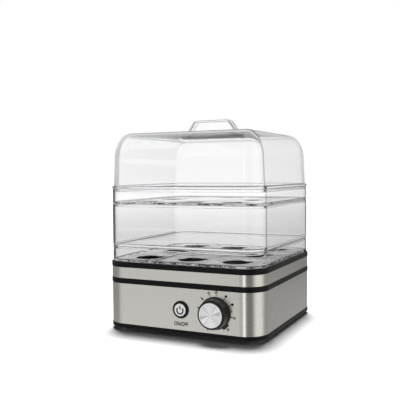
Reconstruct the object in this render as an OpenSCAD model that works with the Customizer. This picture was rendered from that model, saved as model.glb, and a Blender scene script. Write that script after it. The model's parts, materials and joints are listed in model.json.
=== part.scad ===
// Two-level egg cooker: a steel-clad heating base, two clear egg trays, a clear tier wall and a lid.
// Frame: origin at the middle of the footprint on the table, front toward -Y, +Z up, millimetres.

/* [Casing] */
// Width of the steel casing
body_w = 180; // [178:0.5:184]
// Depth of the steel casing
body_d = 180; // [178:0.5:184]
// Radius of the casing's upright corners
corner_r = 22.9; // [22.5:0.1:24]
// Thickness of the steel sheet
sheet = 0.8; // [0.6:0.1:1]
// How far the black rings stand proud of the steel
ring_proud = 0.4; // [0.3:0.1:0.6]

/* [Heights] */
// Gap under the base, held open by the feet
foot_h = 3.5; // [3:0.5:5]
// Height of the black ring round the bottom
base_ring_h = 4.5; // [4:0.1:6]
// Height of the lower steel band, which carries the controls
lower_band_h = 43.4; // [43:0.1:46]
// Height of the black ring between the steel bands
middle_ring_h = 5.8; // [5:0.1:7]
// Height of the upper steel band
upper_band_h = 11.5; // [11:0.1:14]
// Height of the black ring at the top of the base
top_ring_h = 5.6; // [5:0.1:7]

/* [Controls] */
// Height of the button's and knob's axes above the table
control_z = 29.2; // [28:0.1:31]
// Sideways place of the button's axis
button_x = 3.2; // [0:0.1:8]
// Diameter of the button's cap
button_d = 14.2; // [12:0.1:15]
// How far the button goes in
button_travel = 1.5; // [1:0.1:2]
// Sideways place of the knob's axis
knob_x = 42.5; // [40:0.5:44]
// Diameter of the knob's skirt
knob_d = 33; // [30:0.5:34]
// How far the knob stands out of the panel
knob_h = 13.5; // [12:0.5:15]
// Angle of the knob's pointer at rest, from +X toward +Z
pointer_angle = -48; // [-60:1:-40]

/* [Egg trays] */
// Outer width of an egg tray's rim
tray_w = 177.4; // [177:0.1:178]
// Height of an egg tray above its seat
tray_h = 16.3; // [15:0.1:18]
// Diameter of a seat's opening
seat_d = 28.5; // [26:0.5:30]
// Sideways pitch of the seats
seat_pitch_x = 52; // [50:0.5:54]
// Front-to-back pitch of the seats
seat_pitch_y = 58; // [54:0.5:60]
// Diameter of the steam notch beside each seat
notch_d = 10.5; // [10:0.5:13]

/* [Tier wall and lid] */
// Outer width of the tier wall
tier_w = 178; // [177:0.1:179]
// Height of the tier wall between the trays
tier_h = 45; // [40:0.5:60]
// Thickness of the clear walls
clear_wall = 2.2; // [1.8:0.1:2.4]
// Height of the lid, from its flange to its top
lid_h = 59.9; // [55:0.1:65]
// Height of the grip above the lid's top
grip_h = 16.2; // [12:0.1:20]
// Length of the grip at its foot
grip_foot = 66; // [60:1:80]
// Length of the grip at its top
grip_top = 43; // [36:1:50]

/* [Hidden] */
$fn = 96;
eps = 0.01;

// Corner centres of the casing: every ring and wall is swept round them
cx = body_w / 2 - corner_r;
cy = body_d / 2 - corner_r;
steel_in = corner_r - sheet;            // inside of the steel, from a corner centre
ring_out = corner_r + ring_proud;       // outside of the black rings
function reach(w) = w / 2 - cx;         // from a corner centre to a wall of width w

// Levels from the table up
plate_z = foot_h;
lower_z = plate_z + base_ring_h;
middle_z = lower_z + lower_band_h;
upper_z = middle_z + middle_ring_h;
rim_z = upper_z + upper_band_h;
rim_top = rim_z + top_ring_h;
stack_gap = 0.2;                        // play between stacked pieces
lower_seat = rim_top + stack_gap;
tier_z = lower_seat + tray_h + stack_gap;
tier_top = tier_z + tier_h;
upper_seat = tier_top + stack_gap;
lid_z = upper_seat + tray_h + stack_gap;
lid_top = lid_z + lid_h;

// Shared fits of the clear pieces
tray_out = reach(tray_w);
tray_wall = 2;
tray_in = tray_out - tray_wall;
tray_floor = 1.8;
skirt_drop = 3;                         // the skirt that centres a tray in what it stands on
skirt_out = tray_in - 0.2;
skirt_in = skirt_out - 1.8;
lip_out = tray_in - 0.3;                // the lip that centres the tier wall or lid in a tray
lip_in = lip_out - 2;
lip_drop = 3.5;
tier_out = reach(tier_w);
tier_in = tier_out - clear_wall;
flange_t = 2.4;

// Heating pan
pan_flange_out = 18.3;
pan_flange_z = rim_z + 0.7;
pan_sheet = 1.2;
pan_wall_out = 11.9;
pan_floor_z = upper_z - 1.2;
pan_floor_t = 2;
heater_r = 50;
heater_tube_r = 4;
heater_z = pan_floor_z - 5;
heater_gap = 50;                        // degrees left open between the heater's ends
end_bend = 7;                           // bend radius of the heater's ends
cold_end_r = heater_tube_r - 0.4;
cold_pin_r = cold_end_r - 0.4;
cold_pin_l = 5;                         // straight end below each bend

// Screw towers that clamp the base together
tower = cx + 11.9;
tower_r = 3.8;
screw_r = 1.6;

// Cord inlet at the back
gland_x = 55;
gland_z = 22;

// Front panel stack, from the panel's face inward
panel_y = -body_d / 2;
board_y = panel_y + 17;
board_t = 1.6;

module at_corners(x, y) for (sx = [-1, 1], sy = [-1, 1]) translate([sx * x, sy * y, 0]) children();

// Sweep a profile round the corner centres: profile x is the distance outward, profile y is the height
module around() {
    for (i = [0:3]) {
        side = i % 2 == 0 ? cx : cy;
        length = i % 2 == 0 ? 2 * cy : 2 * cx;
        rotate([0, 0, 90 * i]) translate([side, 0, 0]) rotate([90, 0, 0])
            linear_extrude(height = length, center = true) children();
        rotate([0, 0, 90 * i]) translate([side, length / 2, 0]) rotate_extrude(angle = 90) children();
    }
}

module box2(x0, z0, x1, z1) translate([x0, z0]) square([x1 - x0, z1 - z0]);

// Ring of rectangular section between two reaches and two heights
module ring(x0, x1, z0, z1) around() box2(x0, z0, x1, z1);

// Black trim ring with softened outer edges
module soft_ring(x0, x1, z0, z1, soft = 0.5) around()
    polygon([[x0, z0], [x1 - soft, z0], [x1, z0 + soft], [x1, z1 - soft], [x1 - soft, z1], [x0, z1]]);

// Full slab out to a reach
module slab(x, z0, z1) translate([0, 0, z0]) linear_extrude(height = z1 - z0) {
    square([2 * cx + 2 * x, 2 * cy], center = true);
    square([2 * cx, 2 * cy + 2 * x], center = true);
    at_corners(cx, cy) circle(r = x);
}

// Cylinder along +Y (into the panel) from a front-panel point
module inward(x, z, y0, y1, r) translate([x, y0, z]) rotate([-90, 0, 0]) cylinder(r = r, h = y1 - y0);

// Eight-sided flexible lead through a list of points
function unit(v) = v / norm(v);
function heading(p, i) = unit(p[min(i + 1, len(p) - 1)] - p[max(i - 1, 0)]);
function lead_ring(p, i, r) =
    let (across = unit(cross(heading(p, i), [0.9, 0.3, 0.2])), over = cross(across, heading(p, i)))
    [for (k = [0:7]) p[i] + r * (cos(45 * k) * across + sin(45 * k) * over)];

module lead(p, r) {
    last = 8 * (len(p) - 1);
    polyhedron(
        points = [for (i = [0:len(p) - 1]) each lead_ring(p, i, r)],
        faces = concat(
            [[for (k = [0:7]) k]],
            [for (i = [0:len(p) - 2], k = [0:7]) let (j = 8 * i, n = (k + 1) % 8)
                [j + k, j + 8 + k, j + 8 + n, j + n]],
            [[for (k = [7:-1:0]) last + k]]));
}

// ---- Base -------------------------------------------------------------

module base_plate() color("#1c1c1a") {
    floor_t = 2.5;
    tongue_h = 5;
    vent_l = 46;
    difference() {
        union() {
            slab(corner_r - 1.5, plate_z, plate_z + floor_t);
            soft_ring(corner_r - 3, ring_out, plate_z, lower_z, 0.6);
            ring(steel_in - 1.9, steel_in - 0.2, plate_z + eps, lower_z + tongue_h);
            // Guides that hold the ends of the control board
            for (x = [-22, 66]) translate([x - 2.5, board_y - 3, plate_z + eps]) cube([5, 7.6, 34]);
            // Post under the terminal block
            translate([38, 60, plate_z + eps]) cube([34, 14, 8 - eps]);
        }
        at_corners(tower, tower) translate([0, 0, plate_z - eps]) cylinder(r = screw_r + 0.2, h = 20);
        at_corners(tower, tower) translate([0, 0, plate_z - eps]) cylinder(r = 3.2, h = 1.5);
        at_corners(tower, tower) translate([0, 0, plate_z + floor_t]) cylinder(r = tower_r + 0.2, h = 20);
        at_corners(cx - 5, cy - 5) translate([0, 0, plate_z - eps]) cylinder(r = 8.1, h = 1 + eps);
        for (i = [-4:4]) translate([i * 9, 5, plate_z + 1]) cube([3, vent_l, 6], center = true);
        translate([22, board_y + board_t / 2, 23]) cube([88.6, board_t + 0.2, 30], center = true);
    }
}

module foot_pads() color("#161616") at_corners(cx - 5, cy - 5) {
    cylinder(r = 7, h = 1);
    translate([0, 0, 1]) cylinder(r = 8, h = foot_h);
}

module base_screws() color("#9a9a98") at_corners(tower, tower) translate([0, 0, plate_z + 0.1]) {
    difference() {
        cylinder(r = 3, h = 1.3);
        translate([0, 0, 0.4]) cube([3.6, 0.8, 1], center = true);
        translate([0, 0, 0.4]) cube([0.8, 3.6, 1], center = true);
    }
    cylinder(r = screw_r, h = 18);
}

module lower_shell() color("#bab4aa") difference() {
    ring(steel_in, corner_r, lower_z, middle_z);
    inward(button_x, control_z, panel_y - 1, panel_y + 2, button_d / 2 + 1.3);
    inward(knob_x, control_z, panel_y - 1, panel_y + 2, 3.6);
    translate([gland_x, body_d / 2 - 2, gland_z]) rotate([-90, 0, 0]) cylinder(r = 6, h = 4);
}

module middle_frame() color("#1c1c1a") difference() {
    tongue = 4.3;
    union() {
        soft_ring(steel_in - 2, ring_out, middle_z, upper_z);
        ring(steel_in - 1.8, steel_in - 0.1, middle_z - 6, upper_z + tongue);
        at_corners(tower, tower) translate([0, 0, middle_z - 1]) cylinder(r = tower_r + 1.2, h = 5);
    }
    at_corners(tower, tower) translate([0, 0, middle_z - 20]) cylinder(r = tower_r + 0.2, h = 40);
    // Clearance over the switch and regulator behind the panel
    translate([24, panel_y + 4, middle_z - 6]) cube([76, 6, 6], center = true);
}

module upper_band() color("#bab4aa") ring(steel_in, corner_r, upper_z, rim_z);

module top_rim() color("#1c1c1a") difference() {
    shelf_in = 14.6;
    union() {
        soft_ring(tray_in + 0.1, ring_out, rim_z, rim_top);
        ring(shelf_in, steel_in - 0.1, rim_z - 2.2, rim_z);
        ring(tray_in + 0.1, steel_in - 0.1, rim_z - 2.2, rim_z + 1);
        ring(steel_in - 1.8, steel_in - 0.1, rim_z - 6.5, rim_z);
        at_corners(tower, tower) translate([0, 0, plate_z + 2.5])
            cylinder(r = tower_r, h = rim_z - plate_z - 3);
    }
    at_corners(tower, tower) translate([0, 0, plate_z + 2]) cylinder(r = screw_r, h = 20);
    pan_screw_places() cylinder(r = 1.1, h = 6);
}

// ---- Heating ----------------------------------------------------------

module water_pan() color("#3c3c3e") difference() {
    union() {
        ring(pan_wall_out - 1, pan_flange_out, pan_flange_z, pan_flange_z + pan_sheet);
        around() box2(pan_wall_out - pan_sheet, pan_floor_z, pan_wall_out, pan_flange_z + pan_sheet);
        slab(pan_wall_out - eps, pan_floor_z, pan_floor_z + pan_floor_t);
        // Cast ring that grips the heater
        translate([0, 0, pan_floor_z - 4]) rotate([0, 0, 95 + heater_gap / 2])
            rotate_extrude(angle = 350 - heater_gap) translate([heater_r - 6, 0]) square([12, 4 + eps]);
        // Boss for the thermostat
        translate([0, 0, pan_floor_z - 3]) cylinder(r = 11, h = 3 + eps);
    }
    around() box2(pan_wall_out - 1 - eps, pan_flange_z + pan_sheet, 30, 200);
    translate([0, 0, heater_z]) rotate_extrude() translate([heater_r, 0]) circle(r = heater_tube_r);
    translate([0, 0, pan_floor_z - 3 - eps]) cylinder(r = 8, h = 1 + eps);
    slab(pan_wall_out - 1, pan_flange_z - 1, pan_flange_z + 5);
    pan_screw_places() cylinder(r = 1.1, h = 5.8);
}

module pan_gasket() color("#5a5a5a") difference() {
    ring(15.2, 18.2, rim_z, pan_flange_z);
    pan_screw_places() cylinder(r = 1.1, h = 6);
}

// Four screws from below, through the rim's shelf and the gasket, into the pan's flange
module pan_screw_places() at_corners(cx - 12, cy + 16.7) translate([0, 0, rim_z - 4.2]) children();

module pan_screws() color("#9a9a98") pan_screw_places() {
    cylinder(r = 2.2, h = 2);
    cylinder(r = 1.1, h = 5.8);
}

// Both halves of the heater, mirrored; children are drawn with the ring's free end facing -Y at its end
module heater_ends() for (m = [0, 1]) mirror([m, 0, 0]) rotate([0, 0, 90 + heater_gap / 2])
    translate([heater_r, 0, heater_z]) children();

module heating_element() color("#6f6b66") {
    translate([0, 0, heater_z]) rotate([0, 0, 90 + heater_gap / 2])
        rotate_extrude(angle = 360 - heater_gap) translate([heater_r, 0]) circle(r = heater_tube_r);
    // Thinner cold ends turned down toward the terminals
    heater_ends() {
        translate([0, 0, -end_bend]) mirror([0, 1, 0]) rotate([0, -90, 0]) rotate_extrude(angle = 90)
            translate([end_bend, 0]) circle(r = cold_end_r);
        translate([0, -end_bend, -end_bend - cold_pin_l]) cylinder(r = cold_pin_r, h = cold_pin_l);
    }
}

module heater_terminals() color("#c9b27a") heater_ends() translate([0, -end_bend, -end_bend - cold_pin_l]) {
    translate([0, 0, -3]) cylinder(r = 2.6, h = 3);
    translate([-3, -0.4, -11]) cube([6, 0.8, 8.5]);
}

module thermostat() color("#d8cfc0") {
    translate([0, 0, pan_floor_z - 9]) cylinder(r = 7.8, h = 7);
    for (x = [-6, 6]) translate([x - 0.4, -3, pan_floor_z - 16]) cube([0.8, 6, 7.2]);
}

module thermostat_clamp() color("#a8a8a6") difference() {
    translate([-22, -5, pan_floor_z - 4.2]) cube([44, 10, 1.2]);
    translate([0, 0, pan_floor_z - 5]) cylinder(r = 7.8, h = 4);
}

module thermal_fuse() color("#d9d2c4") translate([-26, -16, pan_floor_z - 2.4]) rotate([90, 0, 0]) {
    cylinder(r = 2.2, h = 14, center = true);
    cylinder(r = 0.6, h = 30, center = true);
}

// ---- Electrics --------------------------------------------------------

module control_board() color("#2f5a35") translate([22, board_y + board_t / 2, 27])
    difference() {
        cube([88, board_t, 38], center = true);
        for (x = [-39, 39]) translate([x, 0, 16]) rotate([90, 0, 0])
            cylinder(r = screw_r, h = 4, center = true);
    }

module relay() color("#2c5fa8") translate([-14, board_y + board_t, 14]) cube([19, 15, 15]);

module capacitor() color("#c9a22e") translate([10, board_y + board_t, 12]) cube([18, 8, 14]);

module buzzer() color("#202020") difference() {
    inward(42, 22, board_y + board_t, board_y + board_t + 7, 6);
    inward(42, 22, board_y + board_t + 6, board_y + board_t + 8, 1.2);
}

module power_led() color("#e8e8e8") translate([button_x + 7.8, board_y, control_z]) rotate([90, 0, 0]) {
    cylinder(r = 1.5, h = 3);
    translate([0, 0, 3]) sphere(r = 1.5);
}

module terminal_block() color("#e9e6dc") translate([40, 62, plate_z + 8]) difference() {
    cube([30, 11, 11]);
    for (i = [0:2]) translate([5 + 10 * i, 5.5, 5]) cylinder(r = 2.2, h = 8);
    for (i = [0:2]) translate([5 + 10 * i, -1, 4]) rotate([-90, 0, 0]) cylinder(r = 1.6, h = 13);
}

module cord_gland() color("#161616") translate([gland_x, body_d / 2, gland_z]) rotate([-90, 0, 0])
    difference() {
        union() {
            cylinder(r = 8, h = 2.2);
            translate([0, 0, -1]) cylinder(r = 5.9, h = 1.1);
            translate([0, 0, -5]) cylinder(r = 7.2, h = 4.1);
        }
        translate([0, 0, -6]) cylinder(r = 3.6, h = 10);
    }

module mains_leads() color("#3f5f9a") for (i = [0, 1]) translate([10 * i, 0, 0])
    lead([[45, 61, 15.5], [45, 50, 15], [41, 38, 12], [30, 10, 11], [22, -20, 14], [20, -45, 28],
        [20, -60, 34], [20, board_y + board_t + 1, 35]], 1.1);

module heater_leads() color("#c8c4ba") {
    lead([[-28, 41, 27], [-30, 36, 22], [-34, 10, 20], [-36, -20, 20], [-34, -46, 26], [-28, -60, 38],
        [-18, board_y + board_t + 1, 42]], 1.1);
    lead([[28, 41, 27], [30, 46, 24], [38, 52, 26], [56, 54, 28], [65, 55, 23], [65, 61, 15.5]], 1.1);
}

// ---- Button -----------------------------------------------------------

button_face = panel_y - 2.2;            // front of the cap at rest
switch_y = panel_y + 8;
plunger_r = 1.5;
plunger_end = switch_y + 2.6;           // inner end of the plunger at rest

module switch_body() color("#26262a") difference() {
    translate([button_x - 6, switch_y, control_z - 6]) cube([12, board_y - switch_y, 12]);
    inward(button_x, control_z, switch_y - 1, plunger_end + button_travel + 0.4, plunger_r + 0.05);
}

module switch_plunger() color("#efefec") inward(button_x, control_z, panel_y + 2.5, plunger_end, plunger_r);

// Turns of a light return spring, drawn at its pressed length
module button_spring() color("#b8b8b8") {
    turns = 5;
    wire_r = 0.25;
    for (i = [0:turns - 1]) translate([button_x, switch_y - wire_r - i * 0.6, control_z])
        rotate([90, 0, 0]) rotate_extrude() translate([2.6, 0]) circle(r = wire_r, $fn = 16);
}

module button_bezel() color("#161616") difference() {
    outer = button_d / 2 + 2;
    union() {
        translate([button_x, panel_y - 1.2, control_z]) rotate([-90, 0, 0])
            cylinder(r1 = outer - 0.5, r2 = outer, h = 0.5);
        inward(button_x, control_z, panel_y - 0.7, panel_y, outer);
        inward(button_x, control_z, panel_y - eps, panel_y + 3.5, button_d / 2 + 1.2);
    }
    inward(button_x, control_z, panel_y - 2, panel_y + 4, button_d / 2 + 0.3);
}

module button_cap() color("#e4e4e2") difference() {
    union() {
        translate([button_x, button_face, control_z]) rotate([-90, 0, 0])
            cylinder(r1 = button_d / 2 - 0.6, r2 = button_d / 2, h = 0.6);
        inward(button_x, control_z, button_face + 0.6, panel_y + 3.5, button_d / 2);
    }
    inward(button_x, control_z, panel_y + 2.5, panel_y + 4, button_d / 2 - 1.4);
}

// ---- Knob -------------------------------------------------------------

regulator_y = panel_y + 7;
nut_h = 2;
bushing_r = 3.4;

module regulator_body() color("#8f8f8c") difference() {
    union() {
        inward(knob_x, control_z, regulator_y, board_y, 8.5);
        inward(knob_x, control_z, panel_y - nut_h - 1, regulator_y + eps, bushing_r);
    }
    inward(knob_x, control_z, panel_y - 10, board_y - 2, 3.05);
}

module regulator_nut() color("#b5b5b2") difference() {
    inward(knob_x, control_z, panel_y - nut_h, panel_y, 5.6, $fn = 6);
    inward(knob_x, control_z, panel_y - nut_h - 1, panel_y + 1, bushing_r);
}

// Flat of the D-shaped shaft, as a block to cut away
module shaft_flat(y0, y1) rotate_knob() translate([knob_x + 1.8, y0, control_z - 4]) cube([3, y1 - y0, 8]);

module rotate_knob() translate([knob_x, 0, control_z]) rotate([0, -pointer_angle, 0])
    translate([-knob_x, 0, -control_z])
    children();

module regulator_shaft() color("#c9c9c6") difference() {
    inward(knob_x, control_z, panel_y - knob_h + 3, board_y - 2.4, 3);
    shaft_flat(panel_y - knob_h + 2, panel_y - nut_h - 1.5);
}

module knob_body() color("#181818") {
    skirt_r = knob_d / 2;
    front_r = 13.7;
    gap = 0.5;                          // between the skirt and the panel
    pointer_l = 1.8;                    // length past the skirt
    pointer_t = 2.3;
    pointer_w = 7;
    front = knob_h - gap;
    difference() {
        union() {
            translate([knob_x, panel_y - gap, control_z]) rotate([90, 0, 0]) rotate_extrude() polygon([
                [0, 0], [skirt_r, 0], [skirt_r, 1.8], [skirt_r - 0.7, 2.5], [14.9, 2.5], [14.7, front - 2],
                [front_r, front - 0.6], [front_r - 0.4, front], [0, front]]);
            // Pointer at the skirt
            rotate_knob() translate([knob_x + skirt_r - 2, panel_y - gap - pointer_t, control_z - pointer_w / 2])
                cube([pointer_l + 2, pointer_t, pointer_w]);
        }
        // Hollow over the nut, bore for the shaft, and recess for the cap
        inward(knob_x, control_z, panel_y - gap - 3.5, panel_y, 9);
        difference() {
            inward(knob_x, control_z, panel_y - knob_h + 3, panel_y, 3);
            shaft_flat(panel_y - knob_h + 2, panel_y - nut_h - 1.5);
        }
        inward(knob_x, control_z, panel_y - knob_h - 1, panel_y - knob_h + 1, 12.35);
    }
}

module knob_cap() color("#dededc") translate([knob_x, panel_y - knob_h + 1, control_z]) rotate([90, 0, 0]) {
    cylinder(r = 12.3, h = 0.9);
    translate([0, 0, 0.9]) cylinder(r1 = 12.3, r2 = 12, h = 0.3);
}

// ---- Clear trays, tier wall and lid -----------------------------------

// The eight seats: three by three without the middle
seats = [for (i = [-1:1], j = [-1:1]) if (i != 0 || j != 0) [i * seat_pitch_x, j * seat_pitch_y]];
notch_at = [11.1, 8.2];
slot_count = 8;

// Plan of a seat's opening with its notch, grown by a margin
module seat_plan(margin) {
    circle(r = seat_d / 2 + margin);
    translate(notch_at) circle(r = notch_d / 2 + margin);
}

module egg_tray(z) translate([0, 0, z]) difference() {
    edge_t = 0.7;                       // thinner edge round each seat
    edge_w = 1.5;
    slot_l = 10.5;
    slot_w = 2.4;
    slot_pitch = 15.5;
    union() {
        ring(tray_in - eps, tray_out, 0, tray_h);
        slab(tray_in, 0, tray_floor);
        ring(skirt_in, skirt_out, -skirt_drop, eps);
    }
    for (p = seats) translate([p[0], p[1], -1]) {
        linear_extrude(height = tray_floor + 2) seat_plan(0);
        linear_extrude(height = tray_floor + 1 - edge_t) seat_plan(edge_w);
    }
    // Steam slots beside the walls
    for (a = [0:90:270], k = [0:slot_count - 1]) rotate([0, 0, a])
        translate([(k - (slot_count - 1) / 2) * slot_pitch, -cy - skirt_in + 3, tray_floor / 2])
            cube([slot_l, slot_w, tray_floor + 2], center = true);
}

module lower_egg_tray() color("#c8cccd", 0.5) egg_tray(lower_seat);

module upper_egg_tray() color("#dfe6e8", 0.5) egg_tray(upper_seat);

module tier_wall() color("#e2e8ea", 0.4) around() difference() {
    round_r = 2.2;
    union() {
        box2(tier_in, tier_z, tier_out, tier_top);
        box2(lip_in, tier_z, tier_out, tier_z + flange_t);
        box2(lip_in, tier_z - lip_drop, lip_out, tier_z + eps);
    }
    difference() {
        box2(tier_out - round_r, tier_z - 1, tier_out + 1, tier_z + round_r);
        translate([tier_out - round_r, tier_z + round_r]) circle(r = round_r);
    }
}

lid_wall_low = reach(174.4);
lid_wall_high = reach(172.2);
crown_z = lid_z + 31;                   // where the upright wall turns into the crown
crown_steps = 14;

// Outline of the lid's crown: an upright quarter ellipse that ends over the corner centre
function crown(reach_out, top) = [for (i = [0:crown_steps])
    let (a = 90 * i / crown_steps) [reach_out * cos(a), crown_z + (top - crown_z) * sin(a)]];

module lid_outline(inset) polygon(concat(
    [[0, lid_z - lip_drop - 1], [lid_wall_low - inset, lid_z - lip_drop - 1], [lid_wall_low - inset, lid_z]],
    crown(lid_wall_high - inset, lid_top - inset)));

// Upright trapezium with rounded top corners, from the lid's top to the grip's top
module grip_outline(inset) {
    round_r = 5 - inset;
    half_foot = grip_foot / 2 - inset;
    half_top = grip_top / 2 - inset;
    top = lid_top + grip_h - inset;
    slope = (half_foot - half_top) / (grip_h - inset);
    turn = atan2(1, slope);             // the side's angle above the horizontal
    start = half_top - round_r * tan(turn / 2);
    side = [half_top + round_r * tan(turn / 2) * cos(turn), top - round_r * tan(turn / 2) * sin(turn)];
    polygon([[-half_foot, lid_top - 3], [-half_foot, lid_top], [-side[0], side[1]], [-start, top],
        [start, top], [side[0], side[1]], [half_foot, lid_top], [half_foot, lid_top - 3]]);
    for (s = [-1, 1]) translate([s * start, top - round_r]) circle(r = round_r);
}

module grip_block(inset, depth) rotate([90, 0, 0])
    linear_extrude(height = depth, center = true) grip_outline(inset);

module lid() color("#e8eeef", 0.35) {
    grip_depth = 11;
    grip_wall = 1.4;
    flange_out = reach(178.6);
    difference() {
        union() {
            around() lid_outline(0);
            slab(eps, lid_top - clear_wall - 1, lid_top);
            around() difference() {
                box2(lip_in, lid_z, flange_out, lid_z + flange_t);
                difference() {
                    box2(flange_out - 0.6, lid_z + flange_t - 0.6, flange_out + 1, lid_z + flange_t + 1);
                    translate([flange_out - 0.6, lid_z + flange_t - 0.6]) circle(r = 0.6);
                }
            }
            grip_block(0, grip_depth);
        }
        around() difference() {
            box2(0, lid_z - 9, lip_out + 4, lid_z);
            box2(lip_in, lid_z - lip_drop, lip_out, lid_z + 1);
        }
        around() lid_outline(clear_wall);
        slab(eps, lid_z - 9, lid_top - clear_wall);
        grip_block(grip_wall, grip_depth - 2 * grip_wall);
    }
}

base_plate();
foot_pads();
base_screws();
lower_shell();
middle_frame();
upper_band();
top_rim();
water_pan();
pan_gasket();
pan_screws();
heating_element();
heater_terminals();
thermostat();
thermostat_clamp();
thermal_fuse();
control_board();
relay();
capacitor();
buzzer();
power_led();
terminal_block();
cord_gland();
mains_leads();
heater_leads();
switch_body();
switch_plunger();
button_spring();
button_bezel();
button_cap();
regulator_body();
regulator_nut();
regulator_shaft();
knob_body();
knob_cap();
lower_egg_tray();
tier_wall();
upper_egg_tray();
lid();
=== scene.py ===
"""Looks of a two-level egg cooker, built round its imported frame. Metres, +Z up, front toward -Y."""
import json
import math

import bmesh
import bpy
from mathutils import Matrix, Vector


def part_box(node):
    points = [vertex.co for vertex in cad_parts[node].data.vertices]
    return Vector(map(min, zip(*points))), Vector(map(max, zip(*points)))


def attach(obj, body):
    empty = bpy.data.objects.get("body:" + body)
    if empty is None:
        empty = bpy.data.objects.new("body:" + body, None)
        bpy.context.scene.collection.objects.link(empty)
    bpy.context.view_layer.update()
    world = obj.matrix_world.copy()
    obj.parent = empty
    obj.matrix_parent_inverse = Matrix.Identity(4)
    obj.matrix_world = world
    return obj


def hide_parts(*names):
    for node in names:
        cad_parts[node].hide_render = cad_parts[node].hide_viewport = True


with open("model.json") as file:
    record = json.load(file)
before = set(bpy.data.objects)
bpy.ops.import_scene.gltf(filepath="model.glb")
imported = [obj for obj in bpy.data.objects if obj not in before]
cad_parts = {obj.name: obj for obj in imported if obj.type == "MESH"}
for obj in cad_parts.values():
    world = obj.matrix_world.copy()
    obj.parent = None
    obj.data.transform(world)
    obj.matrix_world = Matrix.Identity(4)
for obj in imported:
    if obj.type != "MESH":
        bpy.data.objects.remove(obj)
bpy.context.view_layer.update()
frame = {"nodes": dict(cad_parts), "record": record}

MM = 0.001

# ---- Places taken from the frame ---------------------------------------

CORNER = 67.1 * MM                       # corner centres of the rounded-square plan
BASE_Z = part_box("base_plate")[0].z
LOWER_Z, LOWER_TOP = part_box("lower_shell")[0].z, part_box("lower_shell")[1].z
UPPER_Z, UPPER_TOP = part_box("upper_band")[0].z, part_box("upper_band")[1].z
RIM_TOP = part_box("top_rim")[1].z
STEEL_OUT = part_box("lower_shell")[1].x - CORNER
RING_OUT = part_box("top_rim")[1].x - CORNER
PANEL_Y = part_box("lower_shell")[0].y
TRAY_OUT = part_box("lower_egg_tray")[1].x - CORNER
TIER_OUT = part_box("tier_wall")[1].x - CORNER
TIER_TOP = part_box("tier_wall")[1].z
LID_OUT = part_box("lid")[1].x - CORNER
LID_LIP_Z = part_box("lid")[0].z
GRIP_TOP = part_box("lid")[1].z

OUTWARD = Vector((0, -1, 0))             # out of the control panel
SHEET = 0.8 * MM
CLEAR_WALL = 2.2 * MM
TRAY_WALL = 2.0 * MM
TRAY_FLOOR = 1.8 * MM
SKIRT_DROP = 3.0 * MM
LIP_DROP = 3.5 * MM
FLANGE = 2.4 * MM
LIP_IN, LIP_OUT = 17.3 * MM, 19.3 * MM   # the lip that centres the tier wall or the lid
TONGUE_IN, TONGUE_OUT = 20.2 * MM, 21.9 * MM
GRIP_HEIGHT = 16.2 * MM
SCREW_AT = 79                            # the four base screws, each way from the middle, in mm
WELD_DISTANCE = 2e-6


def centre(node):
    low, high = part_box(node)
    return (low + high) / 2


BUTTON = Vector((centre("button_cap").x, PANEL_Y, centre("button_cap").z))
KNOB = Vector((centre("knob_cap").x, PANEL_Y, centre("knob_cap").z))
GLAND = Vector((centre("cord_gland").x, -PANEL_Y, centre("cord_gland").z))


# ---- Mesh helpers -------------------------------------------------------

def rounded(points, steps=4):
    """Outline whose corners, given as (x, y, radius), are rounded by arcs; radius 0 keeps a corner."""
    outline = []
    for i, (x, y, radius) in enumerate(points):
        if radius <= 0:
            outline.append((x, y))
            continue
        corner = Vector((x, y))
        before = (Vector(points[i - 1][:2]) - corner).normalized()
        after = (Vector(points[(i + 1) % len(points)][:2]) - corner).normalized()
        half = before.angle(after) / 2
        middle = corner + (before + after).normalized() * radius / math.sin(half)
        first = corner + before * radius / math.tan(half) - middle
        last = corner + after * radius / math.tan(half) - middle
        turn = first.angle_signed(last)
        for k in range(steps + 1):
            spot = first.copy()
            spot.rotate(Matrix.Rotation(-turn * k / steps, 2))
            outline.append(tuple(middle + spot))
    return outline


def scaled(points):
    """Points given in millimetres, in metres."""
    return [tuple(v * MM for v in p) for p in points]


def plan_path(steps):
    """(corner centre, outward direction) round the plan, anticlockwise from +X."""
    path = []
    for quadrant in range(4):
        corner = (CORNER if quadrant in (0, 3) else -CORNER, CORNER if quadrant < 2 else -CORNER)
        for i in range(steps + 1):
            a = math.radians(90 * (quadrant + i / steps))
            path.append((corner, (math.cos(a), math.sin(a))))
    return path


def skin(bm, rings, closed_profile):
    """Quads between rings of vertices, ring by ring along a closed path."""
    count = len(rings[0])
    for i in range(len(rings)):
        ring, after = rings[i], rings[(i + 1) % len(rings)]
        for k in range(count if closed_profile else count - 1):
            j = (k + 1) % count
            bm.faces.new((ring[k], after[k], after[j], ring[j]))


def sweep(bm, profile, closed=True, steps=24):
    """A profile of (reach from the corner centres, height), swept round the plan."""
    rings = [[bm.verts.new((c[0] + d[0] * x, c[1] + d[1] * x, z)) for x, z in profile]
        for c, d in plan_path(steps)]
    skin(bm, rings, closed)


def lathe(bm, profile, origin, out, closed=True, steps=96, radius_at=None):
    """A profile of (radius, height along out) turned round an axis; radius_at(r, h, angle) may flute it."""
    turn = Vector((0, 0, 1)).rotation_difference(out).to_matrix()
    rings = []
    for i in range(steps):
        a = 2 * math.pi * i / steps
        ring = []
        for r, h in profile:
            wide = radius_at(r, h, a) if radius_at else r
            ring.append(bm.verts.new(origin + turn @ Vector((wide * math.cos(a), wide * math.sin(a), h))))
        rings.append(ring)
    skin(bm, rings, closed)


def loft(bm, outline, levels):
    """One outline drawn at several levels: outline(level) gives its points."""
    loops = [[bm.verts.new(p) for p in outline(level)] for level in levels]
    for low, high in zip(loops, loops[1:]):
        for k in range(len(low)):
            j = (k + 1) % len(low)
            bm.faces.new((low[k], low[j], high[j], high[k]))
    return loops


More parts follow.
